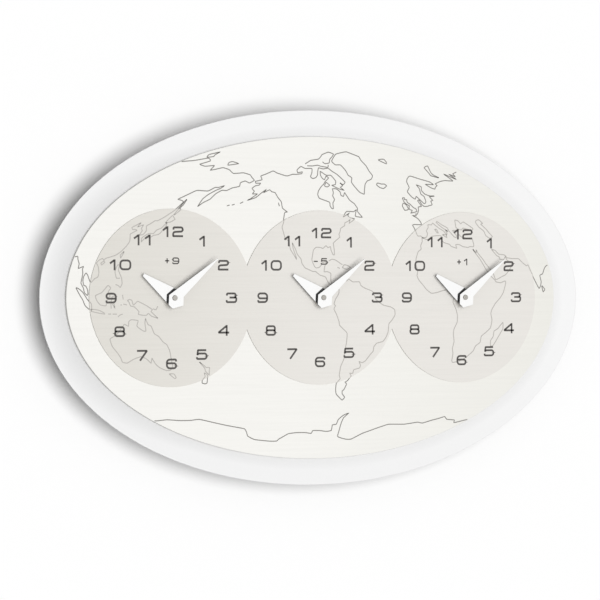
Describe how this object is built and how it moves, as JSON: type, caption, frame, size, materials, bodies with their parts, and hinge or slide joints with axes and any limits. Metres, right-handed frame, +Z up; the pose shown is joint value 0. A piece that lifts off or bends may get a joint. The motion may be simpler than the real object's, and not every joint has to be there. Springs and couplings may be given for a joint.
{
  "type": "world time wall clock",
  "caption": "Oval wall clock with a row of overlapping dials on a world map plate, faceted hands on geared quartz movements, and keyhole hangers behind.",
  "frame": {"origin": "on the wall plane, behind the middle of the clock", "axes": "+X to the right seen from the front, +Y into the wall, +Z up"},
  "size_m": [0.6082, 0.0395, 0.379],
  "materials": {
    "white_lacquer": "white satin lacquer on thin board",
    "ivory_plate": "ivory laminate on board, brushed along the length",
    "grey_film": "warm grey printed sheet, brushed",
    "hand_white": "white paint on sheet",
    "nut_grey": "satin",
    "black_plastic": "moulded, finely textured",
    "gear_plastic": "natural acetal",
    "brass": "turned",
    "steel": "zinc plated",
    "iron": "bare iron",
    "copper": "enamelled copper wire",
    "circuit_board": "green resist",
    "cell_sleeve": "printed sleeve on a can",
    "rubber": "matt"
  },
  "bodies": {
    "clock_body": {"back_panel": "white_lacquer", "face_plate": "ivory_plate", "dial_film": "grey_film", "hanger_left": "steel", "hanger_right": "steel", "hanger_screws": "steel", "plate_screws": "steel", "wall_bumpers": "rubber", "bush_nuts": "brass", "bush_washers": "brass", "panel_gaskets": "rubber", "battery_cells": "cell_sleeve", "battery_contacts": "steel", "circuit_boards": "circuit_board", "quartz_crystals": "steel", "stators": "iron", "coils": "copper", "movement_case_left": "black_plastic", "movement_cover_left": "black_plastic", "movement_case_centre": "black_plastic", "movement_cover_centre": "black_plastic", "movement_case_right": "black_plastic", "movement_cover_right": "black_plastic"},
    "minute_left": {"minute_arbor_left": "brass", "minute_hand_left": "hand_white", "hand_nut_left": "nut_grey"},
    "hour_left": {"hour_wheel_left": "gear_plastic", "hour_hand_left": "hand_white"},
    "reverser_left": {"reverser_wheel_left": "gear_plastic"},
    "knob_left": {"setting_knob_left": "gear_plastic"},
    "rotor_left": {"rotor_left": "iron"},
    "fifth_left": {"fifth_wheel_left": "gear_plastic"},
    "seconds_left": {"seconds_wheel_left": "gear_plastic"},
    "third_left": {"third_wheel_left": "gear_plastic"},
    "centre_wheel_left": {"centre_wheel_left": "gear_plastic"},
    "minute_centre": {"minute_arbor_centre": "brass", "minute_hand_centre": "hand_white", "hand_nut_centre": "nut_grey"},
    "hour_centre": {"hour_wheel_centre": "gear_plastic", "hour_hand_centre": "hand_white"},
    "reverser_centre": {"reverser_wheel_centre": "gear_plastic"},
    "knob_centre": {"setting_knob_centre": "gear_plastic"},
    "rotor_centre": {"rotor_centre": "iron"},
    "fifth_centre": {"fifth_wheel_centre": "gear_plastic"},
    "seconds_centre": {"seconds_wheel_centre": "gear_plastic"},
    "third_centre": {"third_wheel_centre": "gear_plastic"},
    "centre_wheel_centre": {"centre_wheel_centre": "gear_plastic"},
    "minute_right": {"minute_arbor_right": "brass", "minute_hand_right": "hand_white", "hand_nut_right": "nut_grey"},
    "hour_right": {"hour_wheel_right": "gear_plastic", "hour_hand_right": "hand_white"},
    "reverser_right": {"reverser_wheel_right": "gear_plastic"},
    "knob_right": {"setting_knob_right": "gear_plastic"},
    "rotor_right": {"rotor_right": "iron"},
    "fifth_right": {"fifth_wheel_right": "gear_plastic"},
    "seconds_right": {"seconds_wheel_right": "gear_plastic"},
    "third_right": {"third_wheel_right": "gear_plastic"},
    "centre_wheel_right": {"centre_wheel_right": "gear_plastic"}
  },
  "joints": [
    {"name": "minute_turn_left", "type": "hinge", "parent": "clock_body", "child": "minute_left", "pos_m": [-0.1646, -0.03, 0], "axis": [0, 1, 0], "continuous": true},
    {"name": "hour_turn_left", "type": "hinge", "parent": "clock_body", "child": "hour_left", "pos_m": [-0.1646, -0.03, 0], "axis": [0, 1, 0], "continuous": true},
    {"name": "reverser_turn_left", "type": "hinge", "parent": "clock_body", "child": "reverser_left", "pos_m": [-0.15671, -0.03, 0.00287], "axis": [0, 1, 0], "continuous": true},
    {"name": "knob_turn_left", "type": "hinge", "parent": "clock_body", "child": "knob_left", "pos_m": [-0.15251, -0.03, 0.01015], "axis": [0, 1, 0], "continuous": true},
    {"name": "rotor_turn_left", "type": "hinge", "parent": "clock_body", "child": "rotor_left", "pos_m": [-0.17802, -0.03, 0.00001], "axis": [0, 1, 0], "continuous": true},
    {"name": "fifth_turn_left", "type": "hinge", "parent": "clock_body", "child": "fifth_left", "pos_m": [-0.17282, -0.03, -0.00299], "axis": [0, 1, 0], "continuous": true},
    {"name": "seconds_turn_left", "type": "hinge", "parent": "clock_body", "child": "seconds_left", "pos_m": [-0.1646, -0.03, 0], "axis": [0, 1, 0], "continuous": true},
    {"name": "third_turn_left", "type": "hinge", "parent": "clock_body", "child": "third_left", "pos_m": [-0.16885, -0.03, 0.00736], "axis": [0, 1, 0], "continuous": true},
    {"name": "centre_wheel_turn_left", "type": "hinge", "parent": "clock_body", "child": "centre_wheel_left", "pos_m": [-0.1646, -0.03, 0], "axis": [0, 1, 0], "continuous": true},
    {"name": "minute_turn_centre", "type": "hinge", "parent": "clock_body", "child": "minute_centre", "pos_m": [0, -0.03, 0], "axis": [0, 1, 0], "continuous": true},
    {"name": "hour_turn_centre", "type": "hinge", "parent": "clock_body", "child": "hour_centre", "pos_m": [0, -0.03, 0], "axis": [0, 1, 0], "continuous": true},
    {"name": "reverser_turn_centre", "type": "hinge", "parent": "clock_body", "child": "reverser_centre", "pos_m": [0.00789, -0.03, 0.00287], "axis": [0, 1, 0], "continuous": true},
    {"name": "knob_turn_centre", "type": "hinge", "parent": "clock_body", "child": "knob_centre", "pos_m": [0.01209, -0.03, 0.01015], "axis": [0, 1, 0], "continuous": true},
    {"name": "rotor_turn_centre", "type": "hinge", "parent": "clock_body", "child": "rotor_centre", "pos_m": [-0.01342, -0.03, 0.00001], "axis": [0, 1, 0], "continuous": true},
    {"name": "fifth_turn_centre", "type": "hinge", "parent": "clock_body", "child": "fifth_centre", "pos_m": [-0.00822, -0.03, -0.00299], "axis": [0, 1, 0], "continuous": true},
    {"name": "seconds_turn_centre", "type": "hinge", "parent": "clock_body", "child": "seconds_centre", "pos_m": [0, -0.03, 0], "axis": [0, 1, 0], "continuous": true},
    {"name": "third_turn_centre", "type": "hinge", "parent": "clock_body", "child": "third_centre", "pos_m": [-0.00425, -0.03, 0.00736], "axis": [0, 1, 0], "continuous": true},
    {"name": "centre_wheel_turn_centre", "type": "hinge", "parent": "clock_body", "child": "centre_wheel_centre", "pos_m": [0, -0.03, 0], "axis": [0, 1, 0], "continuous": true},
    {"name": "minute_turn_right", "type": "hinge", "parent": "clock_body", "child": "minute_right", "pos_m": [0.1646, -0.03, 0], "axis": [0, 1, 0], "continuous": true},
    {"name": "hour_turn_right", "type": "hinge", "parent": "clock_body", "child": "hour_right", "pos_m": [0.1646, -0.03, 0], "axis": [0, 1, 0], "continuous": true},
    {"name": "reverser_turn_right", "type": "hinge", "parent": "clock_body", "child": "reverser_right", "pos_m": [0.17249, -0.03, 0.00287], "axis": [0, 1, 0], "continuous": true},
    {"name": "knob_turn_right", "type": "hinge", "parent": "clock_body", "child": "knob_right", "pos_m": [0.17669, -0.03, 0.01015], "axis": [0, 1, 0], "continuous": true},
    {"name": "rotor_turn_right", "type": "hinge", "parent": "clock_body", "child": "rotor_right", "pos_m": [0.15118, -0.03, 0.00001], "axis": [0, 1, 0], "continuous": true},
    {"name": "fifth_turn_right", "type": "hinge", "parent": "clock_body", "child": "fifth_right", "pos_m": [0.15638, -0.03, -0.00299], "axis": [0, 1, 0], "continuous": true},
    {"name": "seconds_turn_right", "type": "hinge", "parent": "clock_body", "child": "seconds_right", "pos_m": [0.1646, -0.03, 0], "axis": [0, 1, 0], "continuous": true},
    {"name": "third_turn_right", "type": "hinge", "parent": "clock_body", "child": "third_right", "pos_m": [0.16035, -0.03, 0.00736], "axis": [0, 1, 0], "continuous": true},
    {"name": "centre_wheel_turn_right", "type": "hinge", "parent": "clock_body", "child": "centre_wheel_right", "pos_m": [0.1646, -0.03, 0], "axis": [0, 1, 0], "continuous": true}
  ],
  "couplings": [
    {"joint": "hour_turn_left", "follows": "minute_turn_left", "ratio": 0.083333},
    {"joint": "reverser_turn_left", "follows": "minute_turn_left", "ratio": -0.33333},
    {"joint": "knob_turn_left", "follows": "minute_turn_left", "ratio": 1},
    {"joint": "fifth_turn_left", "follows": "rotor_turn_left", "ratio": -0.2},
    {"joint": "seconds_turn_left", "follows": "rotor_turn_left", "ratio": 0.033333},
    {"joint": "third_turn_left", "follows": "rotor_turn_left", "ratio": -0.0041667},
    {"joint": "centre_wheel_turn_left", "follows": "rotor_turn_left", "ratio": 0.00055556},
    {"joint": "hour_turn_centre", "follows": "minute_turn_centre", "ratio": 0.083333},
    {"joint": "reverser_turn_centre", "follows": "minute_turn_centre", "ratio": -0.33333},
    {"joint": "knob_turn_centre", "follows": "minute_turn_centre", "ratio": 1},
    {"joint": "fifth_turn_centre", "follows": "rotor_turn_centre", "ratio": -0.2},
    {"joint": "seconds_turn_centre", "follows": "rotor_turn_centre", "ratio": 0.033333},
    {"joint": "third_turn_centre", "follows": "rotor_turn_centre", "ratio": -0.0041667},
    {"joint": "centre_wheel_turn_centre", "follows": "rotor_turn_centre", "ratio": 0.00055556},
    {"joint": "hour_turn_right", "follows": "minute_turn_right", "ratio": 0.083333},
    {"joint": "reverser_turn_right", "follows": "minute_turn_right", "ratio": -0.33333},
    {"joint": "knob_turn_right", "follows": "minute_turn_right", "ratio": 1},
    {"joint": "fifth_turn_right", "follows": "rotor_turn_right", "ratio": -0.2},
    {"joint": "seconds_turn_right", "follows": "rotor_turn_right", "ratio": 0.033333},
    {"joint": "third_turn_right", "follows": "rotor_turn_right", "ratio": -0.0041667},
    {"joint": "centre_wheel_turn_right", "follows": "rotor_turn_right", "ratio": 0.00055556}
  ]
}
